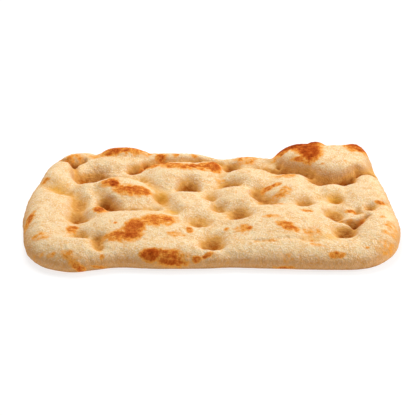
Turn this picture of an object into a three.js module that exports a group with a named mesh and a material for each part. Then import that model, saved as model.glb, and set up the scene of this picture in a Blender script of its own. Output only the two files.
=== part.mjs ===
// A pinsa base: a hand-stretched slab of par-baked flatbread, dimpled with the fingertips.
// Millimetres, +Z up, the long side along X, resting on its flat underside at z = 0.
import * as THREE from "three";

// ---------- driving dimensions ----------
const WIDEST_HEIGHT = 6.5; // height at which the edge reaches furthest out
const SHOULDER = 17; // how far in from the edge the upper side has turned level
const UNDERCUT = 5.5; // how far in from the edge the bread meets the table
const VALLEY_HEIGHT = 15; // dough level between the pillows
const VALLEY_SOFTNESS = 1.3; // how softly two pillows run into each other
const THINNEST = 4.5; // dough left under the deepest finger hole
const PILLOW_STEEPNESS = 2.2; // power of a pillow's fall from its crest, where its row gives none
const DENT_STEEPNESS = 2.2; // power of the fall into a dimple or a crease
const FINGER_SLOPE = 2.4; // how much longer a dimple's back slope is than its front wall
const DIRECTION_SPAN = 12; // length of edge to each side that settles its direction, so that insets don't fold
const CURVE_TENSION = 0.5; // how tightly the outline runs from corner to corner

const FACET = 4.2; // spacing of the surface points along the edge
const UNDERSIDE_STEPS = 3; // rings from the table up to the widest height
const SHOULDER_STEPS = 6; // rings from there in to the level top
const TOP_STEPS = 28; // rings from there to the middle

const CRUST = { color: 0xe8c795, roughness: 0.8, metalness: 0 }; // pale baked dough, matte

// Outline at the widest height, anticlockwise from the middle of the right end.
const OUTLINE = [
  [167.5, 12], [166.5, 48], [164, 82], [162.7, 99.5], [155.5, 110.5], [140, 112.5],
  [120, 110], [102, 112], [84, 113], [68, 105], [45, 98], [15, 96.5],
  [-8, 104], [-45, 107], [-85, 109.5], [-123, 109], [-144, 102.2], [-157.2, 85],
  [-160.5, 52], [-165, 20], [-164, -20], [-158, -54], [-150.5, -80], [-137.5, -96],
  [-124, -103], [-108, -106], [-92, -102.5], [-72, -98.5], [-40, -100.5], [0, -100],
  [20, -98.5], [60, -100.5], [100, -102], [126.5, -100.8], [144.8, -92], [160, -72], [168, -38],
];

// Pillows of risen dough between the finger marks.
// [x, y, half-length, half-width, turn in degrees, height of the top, steepness]
const PILLOWS = [
  [-144, -38, 66, 28, 88, 22.5], // left rim, front two thirds
  [-145, 48, 38, 23, 80, 22.5], // left rim, back third
  [-130, 95, 24, 17, 0, 20.3], // back left corner
  [-83.5, 97, 29, 18, -2, 26.1, 2.8], // toasted bulge on the back edge
  [-88, 80, 32, 21, -6, 21.5], // pale slope in front of that bulge
  [-78, 16, 42, 26, -14, 22.5], // pillow with the forked scorch mark
  [-82, 27, 26, 18, -12, 22.8], // its crest
  [-112, 18, 13, 16, 0, 20], // its shoulder against the left rim
  [-98, -28, 13, 14, 0, 20.5], // small pillow left of the deep crease
  [-66, -52, 50, 36, 6, 22.5], // front left pillow with the long scorch mark
  [-27, 50, 44, 35, 0, 23.5], // large pillow around the round hole
  [1, 66, 19, 15, -12, 22], // its shoulder at the back right
  [-28, 96, 56, 16, 0, 20.8], // back edge, middle
  [-18, -12, 26, 36, 0, 21.5], // pillow in the very middle
  [27, 3, 24, 26, -15, 22.5], // pillow right of the middle
  [40, 42, 27, 25, -8, 24], // pillow behind it
  [36, 90, 26, 15, 0, 20.8], // back edge with a golden patch
  [78, 21, 28, 37, -15, 23.5], // round pillow with three golden spots
  [98, 86, 33.5, 28, -8, 29.8, 3.6], // blistered end of the tall bulge
  [109, 98, 14, 9, 0, 31.6, 3], // crag on its crest
  [126, 78, 36, 37, 0, 29.3, 4.4], // tall bulge, back right
  [147, 90, 22, 30, 0, 28.8, 3.2], // corner end of the tall bulge
  [116, 18, 15, 15, 0, 20], // small pillow before the trench
  [149, 14, 26, 47, 0, 21.5], // right rim, back half
  [62, -50, 48, 46, 8, 22.5], // broad front right pillow
  [100, -24, 16, 20, 0, 20], // saddle between two dimples
  [148, -62, 27, 42, 0, 21.5], // right rim, front half
  [-46, -88, 60, 18, 0, 17.5], // front rim, left of the middle
  [34, -84, 40, 18, 0, 17], // front rim, middle
  [96, -88, 58, 18, 2, 17.5], // front rim, right
  [-112, -84, 34, 24, 0, 20], // front left corner
];

// Finger dimples, each pushed in from the front.
// [x, y, half-length, half-width, turn in degrees, depth]
const DIMPLES = [
  [-18, 21.5, 9, 7, 0, 15], // the round hole
  [-132, 77, 3.5, 3, 0, 4], // fold at the back left corner
  [-121, 44, 6, 6, 0, 4.5], // wide hollow, left end
  [-109, 42.5, 10, 7, 0, 13.5], // wide hollow, right end
  [-114, -10, 9, 8, 0, 2.5],
  [-110, -40, 9, 6, 0, 4.5],
  [-107, -72, 8, 4.5, 0, 6],
  [-71, 62, 7, 5, 0, 8], // dimple behind the large pillow
  [-60, 38, 10, 6, 0, 3],
  [-42, 0, 8, 6, 0, 1], // end of the trench between two pillows
  [2, 0, 8, 5, 0, 4],
  [10, -19, 7, 4, 0, 4],
  [23, 27, 10, 4, 8, 6],
  [23, 66, 8, 5.5, 0, 9],
  [44, 4, 6, 5, 0, 7.5],
  [54, -7, 9, 4.5, -5, 5.5],
  [29, -33, 9.5, 6.5, 5, 9],
  [-8, -43, 11, 6.5, 0, 5.5],
  [3, -82, 9, 6.5, 0, 11.5],
  [88, -11, 7, 4, 0, 6.5],
  [117, -1, 5.5, 4, 0, 5.5],
  [110, -30, 9, 6, 0, 9],
  [117, -63, 9, 6.5, 15, 8],
  [133, -26, 4, 3.5, 0, 4.5],
  [144, -20, 4.5, 3.5, 0, 4.5],
  [86, -76, 9, 6.5, 0, 3],
  [71, 72, 2.8, 2.2, 0, 4.5], // pit at the foot of the tall bulge
];

// Creases where the dough folds in. [x, y, x, y, half-width, depth]
const CREASES = [
  [-165, 42, -134, 14, 8, 4], // across the left rim
  [-120, 14, -116, -34, 8, 3], // along the inner side of the left rim
  [-131, 72, -125, 46, 4, 4.5], // from the corner fold into the wide hollow
  [-119, 56, -105, 56, 8, 4],
  [-103, 16, -93, -4, 6, 4], // deep crease, upper end
  [-92, -6, -84, -17, 6.5, 8.5], // deep crease
  [-88, -14, -78, -21, 3.2, 3], // its sharp foot
  [-79, -22, -66, -22, 5, 4.5], // its run to the right
  [-66, -22, -46, -20, 5, 2.5],
  [-148, 91, -133, 78, 2.3, 4.5],
  [-131, 77, -122, 84, 2.3, 4.5],
  [-98, 52, -84, 46, 5, 3],
  [-68, 62, -60, 76, 4.5, 4],
  [-60, 77, -46, 83, 5, 4],
  [-46, 83, -10, 83, 5, 4],
  [-10, 85, 12, 80, 4, 3],
  [-52, 26, -43, 5, 7, 2.5], // trench between two pillows
  [-43, 5, -28, -28, 6, 3.5],
  [48, 68, 74, 62, 5, 4.5],
  [74, 62, 98, 52, 6, 3.5],
  [101, 38, 110, 37, 7.5, 8], // hollows under the tall bulge
  [126, 36, 134, 36, 7, 7],
  [133, 40, 144, 52, 4.5, 5],
  [144, 52, 160, 56, 3, 4.5],
  [110, -37, 124, -42, 2.5, 2.5],
  [124, -42, 129, -46, 3, 4],
  [129, -46, 140, -34, 3, 5],
  [121, -57, 131, -44, 5, 5],
  [144, -20, 163, -8, 3.5, 3],
  [-92, -75, -90, -87, 6, 5.5],
  [10, -66, 17, -98, 6, 1.5],
  [39, -81, 55, -83, 2.2, 1],
  [58, -80, 79, -78, 2.2, 1],
];

// ---------- shape of the top ----------

// How far a point is from the middle of a turned ellipse, where 1 is the ellipse itself.
// The side behind its long axis can be stretched.
function ellipseShare(x, y, [cx, cy, halfLength, halfWidth, turn], stretchBehind = 1) {
  const angle = THREE.MathUtils.degToRad(turn);
  const along = (x - cx) * Math.cos(angle) + (y - cy) * Math.sin(angle);
  const across = (y - cy) * Math.cos(angle) - (x - cx) * Math.sin(angle);
  return Math.hypot(along / halfLength, (across > 0 ? across / stretchBehind : across) / halfWidth);
}

function dent(share) {
  return Math.exp(-(share ** DENT_STEEPNESS));
}

function pillowHeight(x, y, pillow) {
  const share = ellipseShare(x, y, pillow);
  const [top, steepness = PILLOW_STEEPNESS] = pillow.slice(5);
  return VALLEY_HEIGHT + (top - VALLEY_HEIGHT) * (1 - share ** steepness);
}

function dimpleDepth(x, y, dimple) {
  return dimple[5] * dent(ellipseShare(x, y, dimple, FINGER_SLOPE));
}

function creaseDepth(x, y, [x0, y0, x1, y1, halfWidth, depth]) {
  const run = (x1 - x0) ** 2 + (y1 - y0) ** 2;
  const share = ((x - x0) * (x1 - x0) + (y - y0) * (y1 - y0)) / run;
  const t = THREE.MathUtils.clamp(share, 0, 1);
  const gap = Math.hypot(x - x0 - t * (x1 - x0), y - y0 - t * (y1 - y0));
  return depth * dent(gap / halfWidth);
}

// Height of the top surface, before it rounds down at the edge.
function topHeight(x, y) {
  let sum = Math.exp(VALLEY_HEIGHT / VALLEY_SOFTNESS);
  for (const pillow of PILLOWS) sum += Math.exp(pillowHeight(x, y, pillow) / VALLEY_SOFTNESS);
  let height = VALLEY_SOFTNESS * Math.log(sum);
  for (const dimple of DIMPLES) height -= dimpleDepth(x, y, dimple);
  for (const crease of CREASES) height -= creaseDepth(x, y, crease);
  return Math.max(height, THINNEST);
}

// ---------- rings of points ----------

const outlineCurve = new THREE.CatmullRomCurve3(
  OUTLINE.map(([x, y]) => new THREE.Vector3(x, y, 0)),
  true,
  "catmullrom",
  CURVE_TENSION,
);

const outlineLength = outlineCurve.getLength();

// A point of the outline at a share of its length, which may run past either end.
function outlinePoint(u) {
  return outlineCurve.getPointAt(THREE.MathUtils.euclideanModulo(u, 1));
}

// The outline moved inwards by a distance, as evenly spaced [x, y] points.
function insetOutline(count, inset) {
  const span = DIRECTION_SPAN / outlineLength;
  const points = [];
  for (let i = 0; i < count; i++) {
    const u = i / count;
    const p = outlinePoint(u);
    const along = outlinePoint(u + span).sub(outlinePoint(u - span)).normalize();
    points.push([p.x - along.y * inset, p.y + along.x * inset]);
  }
  return points;
}

function quarterRound(t) {
  return Math.sqrt(Math.max(0, 1 - (1 - t) ** 2));
}

const edgeCount = Math.round(outlineLength / FACET);
const rings = [];

// Underside edge, from the table up to the widest height.
for (let i = 0; i < UNDERSIDE_STEPS; i++) {
  const angle = ((1 - i / UNDERSIDE_STEPS) * Math.PI) / 2;
  const inset = UNDERCUT * (1 - Math.cos(angle));
  const z = WIDEST_HEIGHT * (1 - quarterRound(inset / UNDERCUT));
  rings.push(insetOutline(edgeCount, inset).map(([x, y]) => [x, y, z]));
}

// Shoulder, from the widest height in to where the top is level.
for (let i = 0; i <= SHOULDER_STEPS; i++) {
  const angle = ((i / SHOULDER_STEPS) * Math.PI) / 2;
  const inset = SHOULDER * (1 - Math.cos(angle));
  const rise = quarterRound(inset / SHOULDER);
  rings.push(
    insetOutline(edgeCount, inset).map(([x, y]) => [
      x,
      y,
      WIDEST_HEIGHT + (topHeight(x, y) - WIDEST_HEIGHT) * rise,
    ]),
  );
}

// Top, in rings that shrink evenly towards the middle.
for (let i = 1; i < TOP_STEPS; i++) {
  const share = 1 - i / TOP_STEPS;
  rings.push(
    insetOutline(Math.round(edgeCount * share), SHOULDER).map(([x, y]) => [
      x * share,
      y * share,
      topHeight(x * share, y * share),
    ]),
  );
}

// ---------- skin ----------

const positions = [];
const faces = [];
const starts = rings.map((ring) => {
  const start = positions.length / 3;
  for (const point of ring) positions.push(...point);
  return start;
});

// Triangles between two neighbouring rings, which may have different numbers of points.
function stitch(lower, upper) {
  const lowCount = rings[lower].length;
  const highCount = rings[upper].length;
  let i = 0;
  let j = 0;
  while (i < lowCount || j < highCount) {
    const a = starts[lower] + (i % lowCount);
    const b = starts[upper] + (j % highCount);
    if (j === highCount || (i < lowCount && (i + 1) / lowCount <= (j + 1) / highCount)) {
      i += 1;
      faces.push(a, starts[lower] + (i % lowCount), b);
    } else {
      j += 1;
      faces.push(a, starts[upper] + (j % highCount), b);
    }
  }
}

// Closes a ring with a fan of triangles around a middle point.
function closeRing(index, height, facesUp) {
  const centre = positions.length / 3;
  const count = rings[index].length;
  positions.push(0, 0, height);
  for (let i = 0; i < count; i++) {
    const a = starts[index] + i;
    const b = starts[index] + ((i + 1) % count);
    faces.push(...(facesUp ? [a, b, centre] : [b, a, centre]));
  }
}

for (let i = 0; i + 1 < rings.length; i++) stitch(i, i + 1);
closeRing(0, 0, false);
closeRing(rings.length - 1, topHeight(0, 0), true);

const breadGeometry = new THREE.BufferGeometry();
breadGeometry.setAttribute("position", new THREE.Float32BufferAttribute(positions, 3));
breadGeometry.setIndex(faces);
breadGeometry.computeBoundingBox();
const middle = breadGeometry.boundingBox.getCenter(new THREE.Vector3());
breadGeometry.translate(-middle.x, -middle.y, 0);
breadGeometry.computeVertexNormals();

const bread = new THREE.Mesh(breadGeometry, new THREE.MeshStandardMaterial(CRUST));
bread.name = "pinsa_base";

const pinsa = new THREE.Group();
pinsa.add(bread);

export default pinsa;
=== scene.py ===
"""A par-baked pinsa base: a hand-stretched, finger-dimpled slab of airy flatbread, on a pale floor."""

from __future__ import annotations

import logging
import math
from dataclasses import dataclass
from enum import Enum

import bpy
import numpy as np
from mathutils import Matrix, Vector, noise

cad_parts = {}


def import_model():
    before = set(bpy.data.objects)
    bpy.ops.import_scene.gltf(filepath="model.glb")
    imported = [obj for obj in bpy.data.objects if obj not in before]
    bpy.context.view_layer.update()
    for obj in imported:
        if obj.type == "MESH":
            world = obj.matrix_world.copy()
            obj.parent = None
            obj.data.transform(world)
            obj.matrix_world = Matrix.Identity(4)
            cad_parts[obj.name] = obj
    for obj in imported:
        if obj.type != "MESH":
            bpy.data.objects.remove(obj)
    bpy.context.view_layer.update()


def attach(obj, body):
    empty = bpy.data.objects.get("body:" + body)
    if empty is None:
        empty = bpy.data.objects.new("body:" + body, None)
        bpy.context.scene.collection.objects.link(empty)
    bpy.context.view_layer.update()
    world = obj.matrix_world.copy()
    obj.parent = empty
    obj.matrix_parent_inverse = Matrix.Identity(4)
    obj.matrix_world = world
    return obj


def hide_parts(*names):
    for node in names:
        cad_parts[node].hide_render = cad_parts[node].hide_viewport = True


LOG = logging.getLogger("pinsa")
MM = 0.001  # metres in a millimetre
NODE = "pinsa_base"
BODY = "root"
Array = np.ndarray
Triangle = tuple[int, int, int]
Ramp = tuple[float, float]


# ---------------------------------------------------------------- marks on the dough


@dataclass(frozen=True)
class Ellipse:
    """A turned ellipse on the plan of the bread, in millimetres and degrees."""

    x: float
    y: float
    half_length: float
    half_width: float
    turn: float

    def offsets(self, x: Array, y: Array) -> tuple[Array, Array]:
        """Places of points against the ellipse's own axes.

        Args:
            x: the points' places along the bread.
            y: the points' places across the bread.

        Returns:
            How far the points are along and across the ellipse, from its middle.
        """
        angle = math.radians(self.turn)
        along = (x - self.x) * math.cos(angle) + (y - self.y) * math.sin(angle)
        across = (y - self.y) * math.cos(angle) - (x - self.x) * math.sin(angle)
        return along, across

    def share(self, x: Array, y: Array) -> Array:
        """How far points are from the middle, where 1 is the ellipse itself."""
        along, across = self.offsets(x, y)
        return np.hypot(along / self.half_length, across / self.half_width)


@dataclass(frozen=True)
class Pillow(Ellipse):
    """A swelling of risen dough between finger marks, with the height of its top."""

    top: float
    steepness: float = 2.2  # power of the fall from the crest: a higher one is flatter on top


FINGER_SLOPE = 2.4  # how much longer a dimple's back slope is than its front wall


@dataclass(frozen=True)
class Dimple(Ellipse):
    """A hollow that a fingertip left, pushed in from the front edge of the bread."""

    depth: float

    def share(self, x: Array, y: Array) -> Array:
        """As for any ellipse, with a longer slope behind the deepest point.

        Args:
            x: the points' places along the bread.
            y: the points' places across the bread.

        Returns:
            One number for each point, 1 at the dimple's rim.
        """
        along, across = self.offsets(x, y)
        across = np.where(across > 0, across / FINGER_SLOPE, across)
        return np.hypot(along / self.half_length, across / self.half_width)


@dataclass(frozen=True)
class Crease:
    """A fold in the dough, along a straight run in plan."""

    x0: float
    y0: float
    x1: float
    y1: float
    half_width: float
    depth: float

    def share(self, x: Array, y: Array) -> Array:
        """Distance of points from the run, as a share of its half-width.

        Args:
            x: the points' places along the bread.
            y: the points' places across the bread.

        Returns:
            One number for each point, 1 at the fold's rim.
        """
        dx, dy = self.x1 - self.x0, self.y1 - self.y0
        along = ((x - self.x0) * dx + (y - self.y0) * dy) / (dx * dx + dy * dy)
        t = np.clip(along, 0.0, 1.0)
        return np.hypot(x - self.x0 - t * dx, y - self.y0 - t * dy) / self.half_width


class Bake(Enum):
    """How far a mark has browned, from 0 for pale dough to 1 for dark brown."""

    BLUSH = 0.26
    GOLDEN = 0.4
    TOASTED = 0.62
    BROWNED = 0.8
    SCORCHED = 1.0


@dataclass(frozen=True)
class Mark(Ellipse):
    """A browned patch where the dough came near the heat."""

    bake: Bake


# Outline at the widest height, anticlockwise from the middle of the right end.
OUTLINE = (
    (167.5, 12), (166.5, 48), (164, 82), (162.7, 99.5), (155.5, 110.5), (140, 112.5),
    (120, 110), (102, 112), (84, 113), (68, 105), (45, 98), (15, 96.5),
    (-8, 104), (-45, 107), (-85, 109.5), (-123, 109), (-144, 102.2), (-157.2, 85),
    (-160.5, 52), (-165, 20), (-164, -20), (-158, -54), (-150.5, -80), (-137.5, -96),
    (-124, -103), (-108, -106), (-92, -102.5), (-72, -98.5), (-40, -100.5), (0, -100),
    (20, -98.5), (60, -100.5), (100, -102), (126.5, -100.8), (144.8, -92), (160, -72), (168, -38),
)  # fmt: skip

PILLOWS = (
    Pillow(-144, -38, 66, 28, 88, 22.5),  # left rim, front two thirds
    Pillow(-145, 48, 38, 23, 80, 22.5),  # left rim, back third
    Pillow(-130, 95, 24, 17, 0, 20.3),  # back left corner
    Pillow(-83.5, 97, 29, 18, -2, 26.1, 2.8),  # toasted bulge on the back edge
    Pillow(-88, 80, 32, 21, -6, 21.5),  # pale slope in front of that bulge
    Pillow(-78, 16, 42, 26, -14, 22.5),  # pillow with the forked scorch mark
    Pillow(-82, 27, 26, 18, -12, 22.8),  # its crest
    Pillow(-112, 18, 13, 16, 0, 20),  # its shoulder against the left rim
    Pillow(-98, -28, 13, 14, 0, 20.5),  # small pillow left of the deep crease
    Pillow(-66, -52, 50, 36, 6, 22.5),  # front left pillow with the long scorch mark
    Pillow(-27, 50, 44, 35, 0, 23.5),  # large pillow around the round hole
    Pillow(1, 66, 19, 15, -12, 22),  # its shoulder at the back right
    Pillow(-28, 96, 56, 16, 0, 20.8),  # back edge, middle
    Pillow(-18, -12, 26, 36, 0, 21.5),  # pillow in the very middle
    Pillow(27, 3, 24, 26, -15, 22.5),  # pillow right of the middle
    Pillow(40, 42, 27, 25, -8, 24),  # pillow behind it
    Pillow(36, 90, 26, 15, 0, 20.8),  # back edge with a golden patch
    Pillow(78, 21, 28, 37, -15, 23.5),  # round pillow with three golden spots
    Pillow(98, 86, 33.5, 28, -8, 29.8, 3.6),  # blistered end of the tall bulge
    Pillow(109, 98, 14, 9, 0, 31.6, 3),  # crag on its crest
    Pillow(126, 78, 36, 37, 0, 29.3, 4.4),  # tall bulge, back right
    Pillow(147, 90, 22, 30, 0, 28.8, 3.2),  # corner end of the tall bulge
    Pillow(116, 18, 15, 15, 0, 20),  # small pillow before the trench
    Pillow(149, 14, 26, 47, 0, 21.5),  # right rim, back half
    Pillow(62, -50, 48, 46, 8, 22.5),  # broad front right pillow
    Pillow(100, -24, 16, 20, 0, 20),  # saddle between two dimples
    Pillow(148, -62, 27, 42, 0, 21.5),  # right rim, front half
    Pillow(-46, -88, 60, 18, 0, 17.5),  # front rim, left of the middle
    Pillow(34, -84, 40, 18, 0, 17),  # front rim, middle
    Pillow(96, -88, 58, 18, 2, 17.5),  # front rim, right
    Pillow(-112, -84, 34, 24, 0, 20),  # front left corner
)

DIMPLES = (
    Dimple(-18, 21.5, 9, 7, 0, 15),  # the round hole
    Dimple(-132, 77, 3.5, 3, 0, 4),  # fold at the back left corner
    Dimple(-121, 44, 6, 6, 0, 4.5),  # wide hollow, left end
    Dimple(-109, 42.5, 10, 7, 0, 13.5),  # wide hollow, right end
    Dimple(-114, -10, 9, 8, 0, 2.5),
    Dimple(-110, -40, 9, 6, 0, 4.5),
    Dimple(-107, -72, 8, 4.5, 0, 6),
    Dimple(-71, 62, 7, 5, 0, 8),  # dimple behind the large pillow
    Dimple(-60, 38, 10, 6, 0, 3),
    Dimple(-42, 0, 8, 6, 0, 1),  # end of the trench between two pillows
    Dimple(2, 0, 8, 5, 0, 4),
    Dimple(10, -19, 7, 4, 0, 4),
    Dimple(23, 27, 10, 4, 8, 6),
    Dimple(23, 66, 8, 5.5, 0, 9),
    Dimple(44, 4, 6, 5, 0, 7.5),
    Dimple(54, -7, 9, 4.5, -5, 5.5),
    Dimple(29, -33, 9.5, 6.5, 5, 9),
    Dimple(-8, -43, 11, 6.5, 0, 5.5),
    Dimple(3, -82, 9, 6.5, 0, 11.5),
    Dimple(88, -11, 7, 4, 0, 6.5),
    Dimple(117, -1, 5.5, 4, 0, 5.5),
    Dimple(110, -30, 9, 6, 0, 9),
    Dimple(117, -63, 9, 6.5, 15, 8),
    Dimple(133, -26, 4, 3.5, 0, 4.5),
    Dimple(144, -20, 4.5, 3.5, 0, 4.5),
    Dimple(86, -76, 9, 6.5, 0, 3),
    Dimple(71, 72, 2.8, 2.2, 0, 4.5),  # pit at the foot of the tall bulge
)

CREASES = (
    Crease(-165, 42, -134, 14, 8, 4),  # across the left rim
    Crease(-120, 14, -116, -34, 8, 3),  # along the inner side of the left rim
    Crease(-131, 72, -125, 46, 4, 4.5),  # from the corner fold into the wide hollow
    Crease(-119, 56, -105, 56, 8, 4),
    Crease(-103, 16, -93, -4, 6, 4),  # deep crease, upper end
    Crease(-92, -6, -84, -17, 6.5, 8.5),  # deep crease
    Crease(-88, -14, -78, -21, 3.2, 3),  # its sharp foot
    Crease(-79, -22, -66, -22, 5, 4.5),  # its run to the right
    Crease(-66, -22, -46, -20, 5, 2.5),
    Crease(-148, 91, -133, 78, 2.3, 4.5),
    Crease(-131, 77, -122, 84, 2.3, 4.5),
    Crease(-98, 52, -84, 46, 5, 3),
    Crease(-68, 62, -60, 76, 4.5, 4),
    Crease(-60, 77, -46, 83, 5, 4),
    Crease(-46, 83, -10, 83, 5, 4),
    Crease(-10, 85, 12, 80, 4, 3),
    Crease(-52, 26, -43, 5, 7, 2.5),  # trench between two pillows
    Crease(-43, 5, -28, -28, 6, 3.5),
    Crease(48, 68, 74, 62, 5, 4.5),
    Crease(74, 62, 98, 52, 6, 3.5),
    Crease(101, 38, 110, 37, 7.5, 8),  # hollows under the tall bulge
    Crease(126, 36, 134, 36, 7, 7),
    Crease(133, 40, 144, 52, 4.5, 5),
    Crease(144, 52, 160, 56, 3, 4.5),
    Crease(110, -37, 124, -42, 2.5, 2.5),
    Crease(124, -42, 129, -46, 3, 4),
    Crease(129, -46, 140, -34, 3, 5),
    Crease(121, -57, 131, -44, 5, 5),
    Crease(144, -20, 163, -8, 3.5, 3),
    Crease(-92, -75, -90, -87, 6, 5.5),
    Crease(10, -66, 17, -98, 6, 1.5),
    Crease(39, -81, 55, -83, 2.2, 1),
    Crease(58, -80, 79, -78, 2.2, 1),
)

# Places on the flat pattern, where the rounded edge of the bread is laid out flat.
MARKS = (
    Mark(-82, 97, 27, 11, 3, Bake.TOASTED),  # crest of the back left bulge
    Mark(-94, 90, 9, 5, 0, Bake.BROWNED),
    Mark(-61, 93, 6, 4, 0, Bake.GOLDEN),
    Mark(-107, 90, 9, 4, 10, Bake.GOLDEN),
    Mark(-125, 91, 13, 4, 0, Bake.BLUSH),  # back left corner and its fold
    Mark(-133, 87, 10, 5, 0, Bake.GOLDEN),
    Mark(-149, 95, 7, 4, 45, Bake.GOLDEN),
    Mark(-154, 37, 8, 4, -30, Bake.GOLDEN),  # left rim
    Mark(-155, -46, 11, 5.5, 72, Bake.TOASTED),
    Mark(-139, -76, 7, 5, 0, Bake.GOLDEN),
    Mark(-145, -94, 3, 2.5, 0, Bake.BLUSH),  # front left corner
    Mark(-136, -97, 3, 2.5, 0, Bake.BLUSH),
    Mark(-127, -99, 4.5, 3, 0, Bake.BLUSH),
    Mark(-111, -102, 8, 5, -35, Bake.GOLDEN),
    Mark(-107, -108, 6, 4, -40, Bake.TOASTED),
    Mark(-101, -113, 5, 4, -35, Bake.TOASTED),
    Mark(-85, -99, 2, 3, 0, Bake.GOLDEN),
    Mark(-86, -108, 6, 1.5, 0, Bake.TOASTED),
    Mark(-115, -58, 5, 6, 0, Bake.TOASTED),
    Mark(-116, -64, 2.5, 3, 0, Bake.GOLDEN),
    Mark(-92, -27, 8, 7, -10, Bake.GOLDEN),  # small pillow by the deep crease
    Mark(-95, -28, 5, 6, 0, Bake.BROWNED),
    Mark(-78, -57, 1.6, 1.8, 0, Bake.TOASTED),
    Mark(-90, 23, 9, 8, -50, Bake.TOASTED),  # forked mark
    Mark(-87, 20, 8, 5, -55, Bake.SCORCHED),
    Mark(-79, 9, 8, 6, -25, Bake.TOASTED),
    Mark(-67, 8, 14, 9, -10, Bake.TOASTED),
    Mark(-69, 9, 11, 5.5, -5, Bake.BROWNED),
    Mark(-57, 7, 6, 6, -25, Bake.TOASTED),
    Mark(-62, 67, 6, 9, -40, Bake.TOASTED),  # arc behind the large pillow
    Mark(-53, 66, 8, 7, -30, Bake.TOASTED),
    Mark(-45, 74, 8, 12, 0, Bake.TOASTED),
    Mark(-46, 90, 6, 5, 0, Bake.TOASTED),
    Mark(-32, 60, 12, 9, -5, Bake.TOASTED),
    Mark(-21, 58, 9, 8, -10, Bake.TOASTED),
    Mark(-14, 60, 6, 7, 0, Bake.BROWNED),
    Mark(-4, 60, 10, 9, -15, Bake.TOASTED),
    Mark(5, 63, 7, 10, -15, Bake.BROWNED),
    Mark(8, 58, 6, 8, 0, Bake.TOASTED),
    Mark(-32, 92, 4, 3.5, 0, Bake.GOLDEN),
    Mark(-12, 92, 4, 3.5, 0, Bake.GOLDEN),
    Mark(-73, -75, 12.5, 7.5, 3, Bake.TOASTED),  # long mark on the front left pillow
    Mark(-62, -66, 9, 16, -12, Bake.BROWNED),
    Mark(-65, -74, 3, 3, 0, Bake.SCORCHED),
    Mark(-43, -49, 17, 10, 22, Bake.TOASTED),
    Mark(-15, -58, 3, 5, 0, Bake.TOASTED),
    Mark(-26, -68, 8, 4, 5, Bake.GOLDEN),
    Mark(-46, -97, 8.5, 6, 0, Bake.SCORCHED),  # front face
    Mark(-31, -100, 16, 8, -8, Bake.TOASTED),
    Mark(-30, -101, 13, 6, -8, Bake.BROWNED),
    Mark(-9, -101, 4, 3, 0, Bake.TOASTED),
    Mark(1, -99, 5.5, 2.5, 15, Bake.TOASTED),
    Mark(62, -109, 9, 1.5, 0, Bake.TOASTED),
    Mark(65, -100, 5, 5, 0, Bake.BLUSH),
    Mark(38, 84, 11, 8, 0, Bake.GOLDEN),  # back edge
    Mark(12, 38, 5, 4, 0, Bake.BLUSH),
    Mark(76, 86, 10, 5, 20, Bake.TOASTED),  # blisters on the tall bulge
    Mark(80, 91, 13, 7, 12, Bake.SCORCHED),
    Mark(96, 90, 16, 13, -20, Bake.SCORCHED),
    Mark(100, 77, 11, 13, 20, Bake.SCORCHED),
    Mark(104, 101, 9, 7, 0, Bake.SCORCHED),
    Mark(114, 99, 8, 6, 0, Bake.TOASTED),
    Mark(92, 68, 10, 2.5, -12, Bake.TOASTED),
    Mark(149, 92, 13, 14, -20, Bake.BROWNED),
    Mark(133, 58, 1.6, 2.2, 0, Bake.GOLDEN),
    Mark(111, 57, 1.8, 1.8, 0, Bake.GOLDEN),
    Mark(74, 40, 11, 8, -10, Bake.GOLDEN),  # round pillow
    Mark(55, 16, 6, 5, 45, Bake.TOASTED),
    Mark(63, 19, 6, 4, 20, Bake.TOASTED),
    Mark(71, 7, 6, 6, 0, Bake.GOLDEN),
    Mark(66, 1, 8, 5, 0, Bake.GOLDEN),
    Mark(57, -13, 11, 2.5, 0, Bake.TOASTED),
    Mark(55, -45, 8, 3.5, 0, Bake.GOLDEN),  # broad front right pillow
    Mark(68, -62, 11, 5.5, -35, Bake.TOASTED),
    Mark(16, -58, 2.5, 3, 0, Bake.GOLDEN),
    Mark(30, -61, 7, 6, 0, Bake.GOLDEN),
    Mark(36, -62, 2.3, 2.5, 0, Bake.TOASTED),
    Mark(26, -70, 10, 2, 0, Bake.BLUSH),
    Mark(49, -82, 10, 1.5, 0, Bake.BLUSH),
    Mark(83, -66, 3, 3, 0, Bake.GOLDEN),
    Mark(90, -66, 7, 8, 0, Bake.BLUSH),
    Mark(87, -78, 1.3, 1.5, 0, Bake.TOASTED),
    Mark(90, -87, 6, 2.5, -20, Bake.GOLDEN),
    Mark(105, -98, 7, 3, 0, Bake.TOASTED),
    Mark(131, -90, 1.6, 1.6, 0, Bake.GOLDEN),
    Mark(87, -30, 6, 3, 0, Bake.TOASTED),  # right end
    Mark(127, -22, 6, 3, -5, Bake.TOASTED),
    Mark(156, -10, 6, 1.8, 15, Bake.TOASTED),
    Mark(122, -38, 7, 1.8, -10, Bake.BLUSH),
    Mark(134, -40, 7, 2, 45, Bake.GOLDEN),
    Mark(151, -43, 3, 3, 0, Bake.GOLDEN),
    Mark(152, -59, 2, 2, 0, Bake.GOLDEN),
    Mark(149, -70, 4, 3.5, 0, Bake.GOLDEN),
    Mark(150, -86, 12, 8, 20, Bake.BLUSH),
    Mark(158, -62, 6, 14, 0, Bake.BLUSH),
)

# Places where the dough stayed thin, moist and yellow.
MOIST = (
    Ellipse(-41, 8, 6, 11, 0),  # trench between two pillows
    Ellipse(-31, -27, 8, 4, 0),
    Ellipse(-138, 25, 8, 8, 0),  # notch in the left rim
    Ellipse(115, 5, 10, 6, 0),  # right of the round pillow
    Ellipse(62, 60, 10, 5, 0),  # foot of the tall bulge
    Ellipse(104, -72, 10, 6, 0),
)


# ---------------------------------------------------------------- form of the bread


DENT_STEEPNESS = 2.2  # power of the fall into a dimple or a crease


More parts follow.
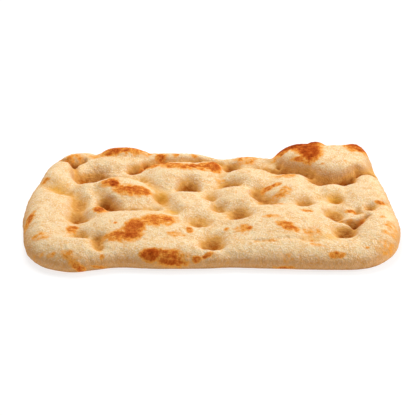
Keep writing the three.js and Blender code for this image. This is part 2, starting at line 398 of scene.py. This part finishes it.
def dent(share: Array) -> Array:
    """Depth of a dent at shares of its half-width, from 1 in its middle."""
    return np.exp(-(share**DENT_STEEPNESS))


def quarter_round(t: Array | float) -> Array | float:
    """Rise of a quarter circle from 0 at t = 0 to 1 at t = 1."""
    return np.sqrt(np.maximum(0.0, 1 - (1 - t) ** 2))


@dataclass(frozen=True)
class Dough:
    """The form of the bread: its edge and the height of its top, in millimetres."""

    widest_height: float = 6.5  # height at which the edge reaches furthest out
    shoulder: float = 17.0  # how far in from the edge the upper side has turned level
    undercut: float = 5.5  # how far in from the edge the bread meets the table
    valley_height: float = 15.0  # dough level between the pillows
    valley_softness: float = 1.3  # how softly two pillows run into each other
    thinnest: float = 4.5  # dough left under the deepest finger hole
    reaches: tuple[float, ...] = (8.0, 16.0, 24.0)  # circles on which a point is set against its surroundings
    directions: int = 8  # points on each of those circles

    def risen(self, x: Array, y: Array) -> Array:
        """Height of the top surface as it would be without finger marks.

        Args:
            x: the points' places along the bread.
            y: the points' places across the bread.

        Returns:
            One height for each point.
        """
        total = np.full_like(x, math.exp(self.valley_height / self.valley_softness))
        for pillow in PILLOWS:
            rise = (pillow.top - self.valley_height) * (1 - pillow.share(x, y) ** pillow.steepness)
            total += np.exp((self.valley_height + rise) / self.valley_softness)
        return self.valley_softness * np.log(total)

    def pressed(self, x: Array, y: Array) -> Array:
        """Depth of the finger marks and folds.

        Args:
            x: the points' places along the bread.
            y: the points' places across the bread.

        Returns:
            One depth for each point.
        """
        depth = np.zeros_like(x)
        for dimple in DIMPLES:
            depth += dimple.depth * dent(dimple.share(x, y))
        for crease in CREASES:
            depth += crease.depth * dent(crease.share(x, y))
        return depth

    def top(self, x: Array, y: Array) -> Array:
        """Height of the top surface before it rounds down at the edge."""
        return np.maximum(self.risen(x, y) - self.pressed(x, y), self.thinnest)

    def sunk(self, x: Array, y: Array) -> Array:
        """How far points lie below the dough around them.

        Args:
            x: the points' places along the bread.
            y: the points' places across the bread.

        Returns:
            One height for each point, negative on crests.
        """
        around = []
        for reach in self.reaches:
            for angle in np.arange(self.directions) * 2 * math.pi / self.directions:
                around.append(self.top(x + reach * math.cos(angle), y + reach * math.sin(angle)))
        return np.mean(around, axis=0) - self.top(x, y)


class Outline:
    """The closed outline of the bread, as a smooth curve with even spacing along it."""

    STEPS = 200  # chords for each stretch between two corners
    SPAN = 12.0  # millimetres of curve to each side that settle its direction, so that insets don't fold

    def __init__(self, corners: tuple[tuple[float, float], ...]) -> None:
        """Traces the curve once.

        Args:
            corners: points of the outline in order, anticlockwise.
        """
        p = np.array(corners, float)
        before, after, beyond = (np.roll(p, k, axis=0) for k in (1, -1, -2))
        t = (np.arange(self.STEPS) / self.STEPS)[:, None, None]
        cubic = (
            2 * p
            + (after - before) * t
            + (2 * before - 5 * p + 4 * after - beyond) * t**2
            + (3 * p - before - 3 * after + beyond) * t**3
        ) / 2
        points = cubic.transpose(1, 0, 2).reshape(-1, 2)
        self.points = np.vstack([points, points[:1]])
        chords = np.hypot(*np.diff(self.points, axis=0).T)
        self.reach = np.concatenate([[0.0], np.cumsum(chords)])
        self.length = float(self.reach[-1])

    def at(self, u: Array) -> Array:
        """Points of the outline at shares of its length."""
        s = np.mod(u, 1.0) * self.length
        return np.stack([np.interp(s, self.reach, self.points[:, k]) for k in (0, 1)], 1)

    def inwards(self, count: int) -> Array:
        """Directions square to the outline, towards the bread, at evenly spaced points.

        Args:
            count: how many points.

        Returns:
            An array of count rows, x and y, each of length 1.
        """
        u = np.arange(count) / count
        step = self.SPAN / self.length
        along = self.at(u + step) - self.at(u - step)
        along /= np.hypot(along[:, 0], along[:, 1])[:, None]
        return np.stack([-along[:, 1], along[:, 0]], 1)

    def inset(self, count: int, distance: float) -> Array:
        """The outline moved inwards by a distance, as a number of evenly spaced points."""
        return self.at(np.arange(count) / count) + self.inwards(count) * distance


class Skin:
    """A closed mesh of the bread, in rings from the underside over the edge to the middle of the top."""

    UNDER_ARC = 1.6  # length of the rounding below the widest height, against its inset
    SHOULDER_ARC = 1.35  # the same above the widest height
    TOP_RUN = 0.8  # rings across the top, against half its length: they lie closer across the bread
    FEWEST = 6  # points in the smallest ring

    def __init__(self, dough: Dough, spacing: float, base_spacing: float) -> None:
        """Starts with no rings.

        Args:
            dough: the form to follow.
            spacing: distance between neighbouring points, in millimetres.
            base_spacing: the same on the flat underside.
        """
        self.dough = dough
        self.outline = Outline(OUTLINE)
        self.spacing = spacing
        self.count = round(self.outline.length / spacing)  # points in a ring of the edge
        self.base_count = round(self.outline.length / base_spacing)
        self.rings: list[Array] = []
        self.base_rings = round(self.base_count / 2 / math.pi)  # rings of the flat underside
        self.edge_rings = 0  # rings from there to where the top has turned level

    def add(self, xy: Array, z: Array | float) -> None:
        """Adds a ring of points."""
        self.rings.append(np.column_stack([xy, np.broadcast_to(z, len(xy))]))

    def shrunk(self, count: int, inset: float, share: float) -> Array:
        """An inset ring drawn towards the middle, with its points as far apart as before."""
        return self.outline.inset(max(self.FEWEST, round(count * share)), inset) * share

    def build(self) -> tuple[Array, Array, list[Triangle]]:
        """Makes all rings and the triangles between them.

        Returns:
            The points, their places on the flat pattern, both in millimetres, and the triangles.
        """
        self.add_underside()
        self.add_edge()
        self.add_top()
        points, faces = self.stitched()
        return points, self.pattern(points), faces

    def add_underside(self) -> None:
        """Adds the rings of the flat underside, from the middle outwards."""
        for i in range(1, self.base_rings + 1):
            share = i / (self.base_rings + 1)
            self.add(self.shrunk(self.base_count, self.dough.undercut, share), 0.0)

    def add_edge(self) -> None:
        """Adds the rings of the rounded edge, up to where the top has turned level."""
        dough = self.dough
        under_steps = round(self.UNDER_ARC * dough.undercut / self.spacing)
        for i in range(under_steps):
            angle = (1 - i / under_steps) * math.pi / 2
            inset = dough.undercut * (1 - math.cos(angle))
            z = dough.widest_height * (1 - quarter_round(inset / dough.undercut))
            self.add(self.outline.inset(self.count, inset), z)
        shoulder_steps = round(self.SHOULDER_ARC * dough.shoulder / self.spacing)
        for i in range(shoulder_steps + 1):
            angle = i / shoulder_steps * math.pi / 2
            inset = dough.shoulder * (1 - math.cos(angle))
            xy = self.outline.inset(self.count, inset)
            rise = quarter_round(inset / dough.shoulder)
            self.add(xy, dough.widest_height + (dough.top(*xy.T) - dough.widest_height) * rise)
        self.edge_rings = len(self.rings) - self.base_rings

    def add_top(self) -> None:
        """Adds the rings of the top, which shrink evenly towards the middle."""
        half_length = self.rings[-1][:, 0].max()
        top_steps = round(self.TOP_RUN * half_length / self.spacing)
        for i in range(1, top_steps):
            xy = self.shrunk(self.count, self.dough.shoulder, 1 - i / top_steps)
            self.add(xy, self.dough.top(*xy.T))

    def edge_points(self) -> slice:
        """Which points of the mesh belong to the edge."""
        start = sum(len(ring) for ring in self.rings[: self.base_rings])
        return slice(start, start + self.count * self.edge_rings)

    def pattern(self, points: Array) -> Array:
        """Places of the points with the edge of the bread laid out flat, as a wrapper would be.

        Args:
            points: the points of the whole mesh.

        Returns:
            An array of x, y and how far over the edge each point lies.
        """
        flat = np.column_stack([points[:, :2], np.zeros(len(points))])
        edge = np.stack(self.rings[self.base_rings : self.base_rings + self.edge_rings])
        runs = np.linalg.norm(np.diff(edge, axis=0), axis=2)
        beyond = np.vstack([np.cumsum(runs[::-1], axis=0)[::-1], np.zeros((1, self.count))])
        outwards = -self.outline.inwards(self.count)
        laid = edge[-1][None, :, :2] + outwards[None] * beyond[:, :, None]
        flat[self.edge_points()] = np.column_stack([laid.reshape(-1, 2), beyond.reshape(-1)])
        return flat

    def around(self, points: Array) -> Array:
        """How far along the outline the points of the edge lie, and 0 for all others.

        Args:
            points: the points of the whole mesh.

        Returns:
            One distance for each point.
        """
        reach = np.zeros(len(points))
        ring = np.arange(self.count) / self.count * self.outline.length
        reach[self.edge_points()] = np.tile(ring, self.edge_rings)
        return reach

    def stitched(self) -> tuple[Array, list[Triangle]]:
        """Joins neighbouring rings with triangles and closes both ends with fans.

        Returns:
            All points of the mesh and its triangles.
        """
        starts = [int(start) for start in np.cumsum([0] + [len(ring) for ring in self.rings])]
        faces: list[Triangle] = []
        for low in range(len(self.rings) - 1):
            faces += zipper(starts[low], len(self.rings[low]), starts[low + 1], len(self.rings[low + 1]))
        under, crown = starts[-1], starts[-1] + 1
        faces += fan(starts[0], len(self.rings[0]), under, False)
        faces += fan(starts[-2], len(self.rings[-1]), crown, True)
        middle = float(self.dough.top(np.zeros(1), np.zeros(1))[0])
        return np.vstack([*self.rings, [[0.0, 0.0, 0.0], [0.0, 0.0, middle]]]), faces


def zipper(low: int, low_count: int, high: int, high_count: int) -> list[Triangle]:
    """Triangles between two neighbouring rings, which may have different numbers of points.

    Args:
        low: first point of the ring that comes first.
        low_count: its number of points.
        high: first point of the next ring.
        high_count: its number of points.

    Returns:
        The triangles, facing out.
    """
    faces = []
    i = j = 0
    while i < low_count or j < high_count:
        a, b = low + i % low_count, high + j % high_count
        if j == high_count or (i < low_count and (i + 1) * high_count <= (j + 1) * low_count):
            i += 1
            faces.append((a, low + i % low_count, b))
        else:
            j += 1
            faces.append((a, high + j % high_count, b))
    return faces


def fan(start: int, count: int, middle: int, facing_up: bool) -> list[Triangle]:
    """Triangles that close a ring around a middle point.

    Args:
        start: first point of the ring.
        count: its number of points.
        middle: the middle point.
        facing_up: whether the triangles face up rather than down.

    Returns:
        The triangles.
    """
    faces = []
    for i in range(count):
        a, b = start + i, start + (i + 1) % count
        faces.append((a, b, middle) if facing_up else (b, a, middle))
    return faces


def outward(points: Array, faces: list[Triangle]) -> Array:
    """Directions square to the surface at each point of a mesh.

    Args:
        points: the points of the mesh.
        faces: its triangles.

    Returns:
        An array of x, y and z, each row of length 1.
    """
    corners = np.array(faces)
    a, b, c = (points[corners[:, k]] for k in range(3))
    across = np.cross(b - a, c - a)
    total = np.zeros_like(points)
    for k in range(3):
        np.add.at(total, corners[:, k], across)
    return total / np.linalg.norm(total, axis=1)[:, None]


SMOOTHNESS = 1.0  # each octave of the noise is half as strong as the one before
FINENESS = 2.0  # and half as large


def unevenness(spot: Vector, octaves: int) -> float:
    """Noise around 0, with detail in several octaves."""
    return noise.fractal(spot, SMOOTHNESS, FINENESS, octaves)


@dataclass(frozen=True)
class Relief:
    """Small unevenness of the crust on top of the drawn form, in millimetres."""

    lump_size: float = 12.0
    lump: float = 0.35
    ripple_size: float = 3.2
    ripple: float = 0.4
    octaves: int = 2
    streak_spacing: float = 3.0  # wrinkles that run up the edge, where the dough was stretched
    streak_length: float = 16.0
    streak: float = 0.3
    streak_start: float = 6.0  # how far over the edge they are at their full height
    blister_size: float = 3.2
    blister: float = 0.6
    blister_middle: float = 0.5  # level of the noise that leaves the surface where it is
    blister_bake: float = 0.2  # browning from which the crust has blistered
    calm: float = 3.0  # height above the table from which the relief is at its full height
    layer: float = 0.5  # where the wrinkles cut through the noise

    def heights(self, points: Array, flat: Array, scorch: Array, around: Array) -> Array:
        """Heights to add to the surface.

        Args:
            points: the points of the mesh.
            flat: their places on the flat pattern.
            scorch: how browned each point is.
            around: how far along the outline each point of the edge lies.

        Returns:
            One height for each point.
        """
        heights = np.zeros(len(points))
        for i, (place, over, run, brown) in enumerate(zip(points, flat[:, 2], around, scorch)):
            spot = Vector(place)
            height = self.lump * unevenness(spot / self.lump_size, self.octaves)
            height += self.ripple * unevenness(spot / self.ripple_size, self.octaves)
            if over > 0:
                cut = Vector((run / self.streak_spacing, over / self.streak_length, self.layer))
                height += self.streak * min(1.0, over / self.streak_start) * noise.noise(cut)
            if brown > self.blister_bake:
                bubbles = abs(noise.noise(spot / self.blister_size))
                height += self.blister * min(1.0, brown) * (self.blister_middle - bubbles)
            heights[i] = height
        return heights * np.clip(points[:, 2] / self.calm, 0, 1)


# ---------------------------------------------------------------- materials


def linear(code: str) -> tuple[float, float, float, float]:
    """Turns an sRGB hex colour into linear light.

    Args:
        code: the colour as # and six hex digits.

    Returns:
        Red, green, blue and full alpha.
    """
    parts = [int(code[k : k + 2], 16) / 255 for k in (1, 3, 5)]
    shown = [c / 12.92 if c <= 0.04045 else ((c + 0.055) / 1.055) ** 2.4 for c in parts]
    return (*shown, 1.0)


def add_node(
    tree: bpy.types.NodeTree, kind: str, links: dict | None = None, **settings: object
) -> bpy.types.Node:
    """Adds a node with its settings and links.

    Args:
        tree: the material's node tree.
        kind: the node's type name.
        links: input name or number to an output socket or to a value.
        settings: the node's own properties.

    Returns:
        The new node.
    """
    node = tree.nodes.new(kind)
    for key, value in settings.items():
        setattr(node, key, value)
    for key, value in (links or {}).items():
        if isinstance(value, bpy.types.NodeSocket):
            tree.links.new(value, node.inputs[key])
        else:
            node.inputs[key].default_value = value
    return node


# Par-baked wheat dough, stretched by hand in flour and baked on a stone. The dry starch is matte and only
# faintly translucent, so the eye gets soft light without gloss. Flour leaves pale specks, the oven leaves tan
# freckles, and where the dough rose towards the heat it is toasted in ragged patches with darker cores.
# Shade is painted into the colour too: darker and browner in hollows, tan on sloping and downward faces, and
# a dark line at the foot of the edge.
@dataclass(frozen=True)
class Crust:
    """The crust of par-baked wheat dough, from pale and floury to scorched."""

    pale: str = "#f1cf9c"
    floury: str = "#fce8cb"
    tan: str = "#e8b878"
    freckle: str = "#e9b474"
    golden: str = "#ee9f40"
    toasted: str = "#cf6e24"
    scorched: str = "#ac4606"
    charred: str = "#7c3003"
    # Painted shade in the hollows: the next two colours darken and warm the crust where the dough lies low.
    shaded: str = "#e3a858"
    hollow: str = "#b5681c"
    # Painted shade on sloping and downward faces, over their own tan crust.
    edge: str = "#cd863a"
    # Underside tan from the oven floor, darkened along the foot of the edge as a painted contact shadow.
    sole_tan_and_shadow: str = "#94602c"
    moist: str = "#efae3a"
    grain_mm: float = 1.3  # flour specks and crust pores, drawn about twice as coarse as real ones to show
    ragged_mm: float = 4.5  # patches within a toasted mark
    mottle_mm: float = 9.0  # thicker and thinner dough under the crust
    fine: float = 4.0  # detail of the grain and of the mottling
    coarse: float = 3.0  # detail of the ragged patches
    tanning: Ramp = (0.42, 0.66)  # each ramp starts and ends at these levels of what drives it
    freckling: Ramp = (0.54, 0.72)
    flouring: Ramp = (0.48, 0.7)
    # where the painted shade in hollows sets in, and where it deepens to the darker hollow colour
    shading: Ramp = (0.0, 0.22)
    hollow_shading: Ramp = (0.18, 0.6)
    browning: Ramp = (0.06, 0.44)
    toasting: Ramp = (0.42, 0.7)
    scorching: Ramp = (0.7, 1.02)
    charring: Ramp = (1.05, 1.35)
    breaking: Ramp = (0.0, 0.3)  # the noise sets in over this range of browning
    ragged_share: float = 1.3  # how much the ragged patches add to the browning
    grain_share: float = 0.7  # how much the grain adds to it
    noise_level: float = -1.0  # brings both back to 0 on average
    roughness: float = 0.85
    ior: float = 1.45
    specular: float = 0.08
    translucence: float = 0.08
    bleed: tuple[float, float, float] = (1.0, 0.5, 0.22)  # red light runs furthest through the dough
    bleed_mm: float = 1.5
    pore_mm: float = 1.1  # depth of the grain

    def build(self) -> bpy.types.Material:
        """Makes the material.

        Returns:
            The crust, which reads the values that the bread stores at its points.
        """
        material = bpy.data.materials.new("bread_crust")
        material.use_nodes = True
        tree = material.node_tree
        tree.nodes.clear()
        place = add_node(tree, "ShaderNodeTexCoord").outputs["Object"]
        grain = self.speckle(tree, place, self.grain_mm, self.fine)
        ragged = self.speckle(tree, place, self.ragged_mm, self.coarse)
        mottle = self.speckle(tree, place, self.mottle_mm, self.fine)
        dough = self.raw(tree, grain, ragged, mottle)
        bake = self.browned(tree, grain, ragged)
        crisp = self.blend(tree, spread(tree, bake, self.toasting), linear(self.golden), linear(self.toasted))
        crisp = self.blend(tree, spread(tree, bake, self.scorching), crisp, linear(self.scorched))
        crisp = self.blend(tree, spread(tree, bake, self.charring), crisp, linear(self.charred))
        colour = self.blend(tree, spread(tree, bake, self.browning), dough, crisp)
        depth = {"Height": grain, "Strength": 1.0, "Distance": self.pore_mm * MM}
        surface = add_node(
            tree,
            "ShaderNodeBsdfPrincipled",
            {
                "Base Color": colour,
                "Roughness": self.roughness,
                "IOR": self.ior,
                "Specular IOR Level": self.specular,
                "Subsurface Weight": self.translucence,
                "Subsurface Radius": self.bleed,
                "Subsurface Scale": self.bleed_mm * MM,
                "Normal": add_node(tree, "ShaderNodeBump", depth).outputs[0],
            },
        )
        add_node(tree, "ShaderNodeOutputMaterial", {"Surface": surface.outputs[0]})
        return material

    def raw(
        self,
        tree: bpy.types.NodeTree,
        grain: bpy.types.NodeSocket,
        ragged: bpy.types.NodeSocket,
        mottle: bpy.types.NodeSocket,
    ) -> bpy.types.NodeSocket:
        """Colour of the dough where it isn't browned, with painted shade in hollows, on sloping faces and at
        the foot of the edge.

        Args:
            tree: the material's node tree.
            grain: the finest noise.
            ragged: the noise of ragged patches.
            mottle: the widest noise.

        Returns:
            The colour.
        """
        dough = self.blend(tree, spread(tree, mottle, self.tanning), linear(self.pale), linear(self.tan))
        dough = self.blend(tree, spread(tree, ragged, self.freckling), dough, linear(self.freckle))
        dough = self.blend(tree, spread(tree, grain, self.flouring), dough, linear(self.floury))
        # Painted shade on sloping and downward faces, over their own tan crust.
        dough = self.blend(tree, stored(tree, "steep_shade"), dough, linear(self.edge))
        # Underside tan from the oven floor, with a painted contact shadow along the foot of the edge.
        dough = self.blend(tree, stored(tree, "sole_tan_and_shadow"), dough, linear(self.sole_tan_and_shadow))
        # Painted shade in the hollows, broken up by the ragged noise.
        hollow_shade_parts = {0: ragged, 1: stored(tree, "hollow")}
        ragged_shade = add_node(tree, "ShaderNodeMath", hollow_shade_parts, operation="MULTIPLY").outputs[0]
        dough = self.blend(tree, spread(tree, ragged_shade, self.shading), dough, linear(self.shaded))
        dough = self.blend(tree, spread(tree, ragged_shade, self.hollow_shading), dough, linear(self.hollow))
        return self.blend(tree, stored(tree, "moist"), dough, linear(self.moist))

    def browned(
        self, tree: bpy.types.NodeTree, grain: bpy.types.NodeSocket, ragged: bpy.types.NodeSocket
    ) -> bpy.types.NodeSocket:
        """How browned the crust is: the stored marks, broken up by noise.

        Args:
            tree: the material's node tree.
            grain: the finest noise.
            ragged: the noise of ragged patches.

        Returns:
            The browning, on the scale of Bake.
        """
        scorch = stored(tree, "scorch")
        patches = {0: ragged, 1: self.ragged_share, 2: self.noise_level}
        rough = add_node(tree, "ShaderNodeMath", patches, operation="MULTIPLY_ADD").outputs[0]
        specks = {0: grain, 1: self.grain_share, 2: rough}
        broken = add_node(tree, "ShaderNodeMath", specks, operation="MULTIPLY_ADD").outputs[0]
        marks = {0: broken, 1: spread(tree, scorch, self.breaking), 2: scorch}
        return add_node(tree, "ShaderNodeMath", marks, operation="MULTIPLY_ADD").outputs[0]

    def speckle(
        self, tree: bpy.types.NodeTree, place: bpy.types.NodeSocket, size_mm: float, detail: float
    ) -> bpy.types.NodeSocket:
        """Noise with features of a given size."""
        links = {"Vector": place, "Scale": 1 / (size_mm * MM), "Detail": detail}
        return add_node(tree, "ShaderNodeTexNoise", links).outputs["Fac"]

    def blend(
        self, tree: bpy.types.NodeTree, share: object, low: object, high: object
    ) -> bpy.types.NodeSocket:
        """Mixes two colours, with the share of the second one."""
        return add_node(tree, "ShaderNodeMix", {0: share, 6: low, 7: high}, data_type="RGBA").outputs[2]


def stored(tree: bpy.types.NodeTree, name: str) -> bpy.types.NodeSocket:
    """A value that the bread stores at its points."""
    return add_node(tree, "ShaderNodeAttribute", attribute_name=name).outputs["Fac"]


def spread(tree: bpy.types.NodeTree, value: bpy.types.NodeSocket, ramp: Ramp) -> bpy.types.NodeSocket:
    """Stretches values so that the ramp's start becomes 0 and its end 1."""
    links = {"Value": value, "From Min": ramp[0], "From Max": ramp[1]}
    return add_node(tree, "ShaderNodeMapRange", links).outputs[0]


# An opal acrylic sheet, cast and lit from below. It gives the eye an even white ground with hardly a shadow.
@dataclass(frozen=True)
class LitAcrylic:
    """The matte, glowing sheet that the bread lies on."""

    colour: str = "#959595"
    roughness: float = 0.9
    glow: float = 0.74

    def build(self) -> bpy.types.Material:
        """Makes the material.

        Returns:
            The acrylic.
        """
        material = bpy.data.materials.new("backlit_white_acrylic")
        material.use_nodes = True
        surface = material.node_tree.nodes["Principled BSDF"]
        surface.inputs["Base Color"].default_value = linear(self.colour)
        surface.inputs["Roughness"].default_value = self.roughness
        surface.inputs["Emission Color"].default_value = linear("#ffffff")
        surface.inputs["Emission Strength"].default_value = self.glow
        return material


# ---------------------------------------------------------------- the bread


@dataclass(frozen=True)
class Tints:
    """How strongly marks, the oven floor and the form of the bread colour its crust, from 0 to 1 for each
    tint, with the shade of hollows, sloping faces and the foot of the edge painted in.
    """

    mark_level: float = 1.9  # a mark fades as this less mark_fall for each share from its middle, up to 1
    mark_fall: float = 1.4
    base_bake: float = 0.4  # browning of the underside, where the dough lay on the oven floor
    base_level: float = 0.75  # how much of that it has on average
    base_uneven: float = 0.9  # how much more or less there is in its patches
    base_most: float = 1.5  # and how much more at most
    base_patch: float = 26.0  # size of those patches
    base_octaves: int = 3
    base_rise: float = 1.6  # how far up the edge that browning fades out
    sole_tan_and_shadow: float = 0.8  # tan of the underside, darkest at the foot of the edge as a painted contact shadow
    sole_rise: float = 4.5  # how far up the edge the oven-floor tan and its painted contact shadow reach
    pressed: float = 0.032  # painted shade for each millimetre of a finger mark's depth
    sunk: float = 0.13  # painted shade for each millimetre below the dough around
    sunk_from: float = 0.3  # how far below it the painted shade sets in
    steep_level: float = 1.35  # the edge's tint, painted shade on sloping and downward faces over their own tan crust, is this, less steep_fall where the surface faces up
    steep_fall: float = 1.5
    steep_most: float = 0.65
    moist: float = 0.55

    def scorch(self, points: Array, flat: Array) -> Array:
        """How browned the surface is, from the marks on the flat pattern and from the oven floor.

        Args:
            points: the points of the drawn form.
            flat: their places on the flat pattern.

        Returns:
            One value for each point, on the scale of Bake.
        """
        scorch = np.zeros(len(points))
        for mark in MARKS:
            fade = np.clip(self.mark_level - self.mark_fall * mark.share(flat[:, 0], flat[:, 1]), 0, 1)
            scorch = np.maximum(scorch, mark.bake.value * fade)
        scorch[points[:, 2] <= 0] = 0.0
        patches = [unevenness(Vector(place) / self.base_patch, self.base_octaves) for place in points]
        amount = np.clip(self.base_level + self.base_uneven * np.array(patches), 0, self.base_most)
        low = np.clip(1 - points[:, 2] / self.base_rise, 0, 1)
        return np.maximum(scorch, self.base_bake * amount * low)

    def shade(self, points: Array, upward: Array, dough: Dough) -> dict[str, Array]:
        """Painted shade in hollows and on sloping faces, the moist yellow, and the underside's tan with a
        painted contact shadow at the foot.

        Args:
            points: the points of the drawn form.
            upward: how far the surface faces up at each point, from -1 to 1.
            dough: the form.

        Returns:
            One value for each point, under the name that the crust reads.
        """
        x, y, z = points.T
        top_side = upward > 0
        moist = np.zeros(len(points))
        for patch in MOIST:
            moist = np.maximum(moist, self.moist * dent(patch.share(x, y)))
        # Painted shade: darker the deeper a finger mark and the further the dough lies below its
        # surroundings.
        hollow = self.pressed * dough.pressed(x, y) + self.sunk * (dough.sunk(x, y) - self.sunk_from)
        # hollow and the sloping-face tint are painted shade; the underside tint is oven tan with a painted
        # contact shadow at the foot
        return {
            "hollow": np.clip(hollow, 0, 1) * top_side,
            "moist": moist * top_side,
            "steep_shade": np.clip(self.steep_level - self.steep_fall * upward, 0, self.steep_most),
            "sole_tan_and_shadow": self.sole_tan_and_shadow * np.clip(1 - z / self.sole_rise, 0, 1),
        }


@dataclass(frozen=True)
class PinsaBase:
    """The bread itself: one solid of dough with its crust."""

    spacing: float = 1.05  # millimetres between neighbouring points
    base_spacing: float = 5.0  # the same on the flat underside
    dough: Dough = Dough()
    relief: Relief = Relief()
    tints: Tints = Tints()
    crust: Crust = Crust()

    def build(self) -> bpy.types.Object:
        """Builds the mesh and dresses it.

        Returns:
            The bread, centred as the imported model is.
        """
        skin = Skin(self.dough, self.spacing, self.base_spacing)
        points, flat, faces = skin.build()
        low, high = points.min(0), points.max(0)
        middle = (*(low + high)[:2] / 2, 0.0)
        normals = outward(points, faces)
        scorch = self.tints.scorch(points, flat)
        rise = self.relief.heights(points, flat, scorch, skin.around(points))
        shaped = points + normals * rise[:, None]
        mesh = bpy.data.meshes.new("bread")
        mesh.from_pydata(((shaped - middle) * MM).tolist(), [], faces)
        mesh.polygons.foreach_set("use_smooth", [True] * len(mesh.polygons))
        values = {"scorch": scorch, **self.tints.shade(points, normals[:, 2], self.dough)}
        for name, numbers in values.items():
            attribute = mesh.attributes.new(name, "FLOAT", "POINT")
            attribute.data.foreach_set("value", numbers.astype(np.float32))
        mesh.materials.append(self.crust.build())
        bread = bpy.data.objects.new("bread", mesh)
        bpy.context.scene.collection.objects.link(bread)
        LOG.info("bread: %d points, %d triangles, %s mm", len(points), len(faces), (high - low).round(1))
        return bread


# ---------------------------------------------------------------- the studio


@dataclass(frozen=True)
class Softbox:
    """A square area light that faces the bread."""

    name: str
    place: tuple[float, float, float]  # metres
    size: float  # metres along a side
    power: float  # watts

    def hang(self, aim: Vector) -> None:
        """Hangs the light.

        Args:
            aim: the point that it faces.
        """
        data = bpy.data.lights.new(self.name, "AREA")
        data.size = self.size
        data.energy = self.power
        light = bpy.data.objects.new(self.name, data)
        bpy.context.scene.collection.objects.link(light)
        light.location = self.place
        light.rotation_mode = "QUATERNION"
        light.rotation_quaternion = (aim - Vector(self.place)).to_track_quat("-Z", "Y")
        LOG.info("%s: %.1f W", self.name, self.power)


@dataclass(frozen=True)
class Studio:
    """Floor, light and camera, matched to the photograph."""

    elevation: float = 27.0  # degrees above the horizon
    distance: float = 0.816  # metres from the aim to the camera
    aim: tuple[float, float, float] = (-0.0011, 0.0099, 0.0)  # metres
    lens: float = 75.9  # millimetres
    sensor: float = 36.0  # millimetres
    key: Softbox = Softbox("softbox_key", (-0.15, 0.55, 0.95), 0.6, 9.0)  # above and behind
    fill: Softbox = Softbox("softbox_fill", (1.0, -0.1, 0.45), 0.4, 6.0)  # weaker, at the right
    surroundings: float = 0.42  # brightness of the white room
    floor_half: float = 6.0  # metres from the middle of the floor to its sides
    sheet: LitAcrylic = LitAcrylic()

    def build(self) -> None:
        """Sets up everything around the bread."""
        self.camera()
        self.key.hang(Vector(self.aim))
        self.fill.hang(Vector(self.aim))
        self.room()
        self.floor()
        bpy.context.scene.view_settings.view_transform = "Standard"

    def camera(self) -> None:
        """Places the camera at the photograph's viewing angle."""
        data = bpy.data.cameras.new("camera")
        data.lens = self.lens
        data.sensor_width = self.sensor
        camera = bpy.data.objects.new("camera", data)
        bpy.context.scene.collection.objects.link(camera)
        angle = math.radians(self.elevation)
        back = Vector((0.0, -math.cos(angle), math.sin(angle)))
        camera.location = Vector(self.aim) + back * self.distance
        camera.rotation_mode = "QUATERNION"
        camera.rotation_quaternion = (-back).to_track_quat("-Z", "Y")
        bpy.context.scene.camera = camera

    def room(self) -> None:
        """Puts white walls all round, far away."""
        world = bpy.data.worlds.new("white_room")
        bpy.context.scene.world = world
        world.use_nodes = True
        background = world.node_tree.nodes["Background"]
        background.inputs["Color"].default_value = linear("#ffffff")
        background.inputs["Strength"].default_value = self.surroundings

    def floor(self) -> None:
        """Lays a pale floor far past the picture."""
        half = self.floor_half
        mesh = bpy.data.meshes.new("floor")
        corners = [(-half, -half, 0.0), (half, -half, 0.0), (half, half, 0.0), (-half, half, 0.0)]
        mesh.from_pydata(corners, [], [(0, 1, 2, 3)])
        mesh.materials.append(self.sheet.build())
        floor = bpy.data.objects.new("floor", mesh)
        bpy.context.scene.collection.objects.link(floor)
        LOG.info("floor: %.0f m across", 2 * half)


def main() -> None:
    """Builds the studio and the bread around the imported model."""
    logging.basicConfig(level=logging.INFO, format="%(name)s: %(message)s")
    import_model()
    Studio().build()
    bread = PinsaBase().build()
    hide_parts(NODE)
    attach(bread, BODY)


if __name__ == "__main__":
    main()
